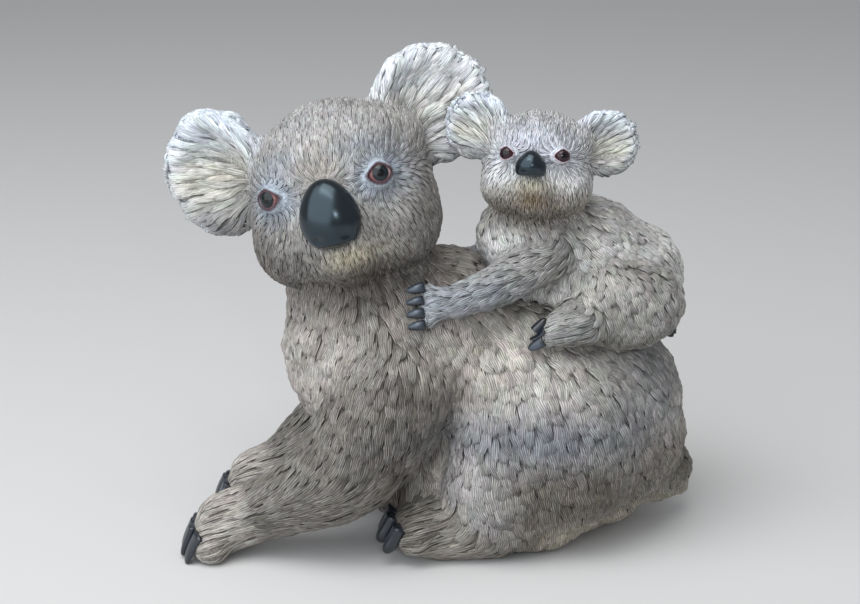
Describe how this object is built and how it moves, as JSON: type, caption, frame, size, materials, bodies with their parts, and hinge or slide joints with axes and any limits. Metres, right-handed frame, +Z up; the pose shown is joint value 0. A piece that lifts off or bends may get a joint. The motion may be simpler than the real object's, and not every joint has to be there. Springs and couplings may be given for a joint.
{
  "type": "koala garden statue",
  "caption": "Painted resin garden statue of a sitting mother koala with turned head, and a joey clinging to her back.",
  "frame": {"origin": "on the floor, under the middle of the overall box", "axes": "+Z up, -Y the way the mother's body faces, +X towards her left, the side her face is turned to"},
  "size_m": [0.1616, 0.3234, 0.303],
  "materials": {
    "coat_paint": "matt paint on carved resin fur, pale on the ridges and dark in the grooves",
    "ear_paint": "matt paint, cream in the hollow and bluish white at the rim",
    "nose_gloss": "gloss black",
    "claw_gloss": "gloss slate black",
    "eye_gloss": "gloss dark brown"
  },
  "bodies": {
    "root": {"joey_ear_left": "ear_paint", "joey_ear_right": "ear_paint", "joey_eye_left": "eye_gloss", "joey_eye_right": "eye_gloss", "joey_foreleg_left": "coat_paint", "joey_foreleg_right": "coat_paint", "joey_forepaw_left": "coat_paint", "joey_forepaw_left_claw_1": "claw_gloss", "joey_forepaw_left_claw_2": "claw_gloss", "joey_forepaw_left_claw_3": "claw_gloss", "joey_forepaw_left_claw_4": "claw_gloss", "joey_forepaw_right": "coat_paint", "joey_forepaw_right_claw_1": "claw_gloss", "joey_forepaw_right_claw_2": "claw_gloss", "joey_forepaw_right_claw_3": "claw_gloss", "joey_forepaw_right_claw_4": "claw_gloss", "joey_haunch_left": "coat_paint", "joey_haunch_right": "coat_paint", "joey_head": "coat_paint", "joey_hindfoot_left": "coat_paint", "joey_hindfoot_left_claw_1": "claw_gloss", "joey_hindfoot_left_claw_2": "claw_gloss", "joey_hindfoot_left_claw_3": "claw_gloss", "joey_hindfoot_right": "coat_paint", "joey_hindfoot_right_claw_1": "claw_gloss", "joey_hindfoot_right_claw_2": "claw_gloss", "joey_hindfoot_right_claw_3": "claw_gloss", "joey_nose": "nose_gloss", "joey_trunk": "coat_paint", "mother_ear_left": "ear_paint", "mother_ear_right": "ear_paint", "mother_eye_left": "eye_gloss", "mother_eye_right": "eye_gloss", "mother_foreleg_left": "coat_paint", "mother_foreleg_right": "coat_paint", "mother_forepaw_left": "coat_paint", "mother_forepaw_left_claw_1": "claw_gloss", "mother_forepaw_left_claw_2": "claw_gloss", "mother_forepaw_left_claw_3": "claw_gloss", "mother_forepaw_left_claw_4": "claw_gloss", "mother_forepaw_right": "coat_paint", "mother_forepaw_right_claw_1": "claw_gloss", "mother_forepaw_right_claw_2": "claw_gloss", "mother_forepaw_right_claw_3": "claw_gloss", "mother_forepaw_right_claw_4": "claw_gloss", "mother_haunch_left": "coat_paint", "mother_haunch_right": "coat_paint", "mother_head": "coat_paint", "mother_hindfoot_left": "coat_paint", "mother_hindfoot_left_claw_1": "claw_gloss", "mother_hindfoot_left_claw_2": "claw_gloss", "mother_hindfoot_left_claw_3": "claw_gloss", "mother_hindfoot_right": "coat_paint", "mother_hindfoot_right_claw_1": "claw_gloss", "mother_hindfoot_right_claw_2": "claw_gloss", "mother_hindfoot_right_claw_3": "claw_gloss", "mother_nose": "nose_gloss", "mother_tail": "coat_paint", "mother_trunk": "coat_paint"}
  },
  "joints": []
}
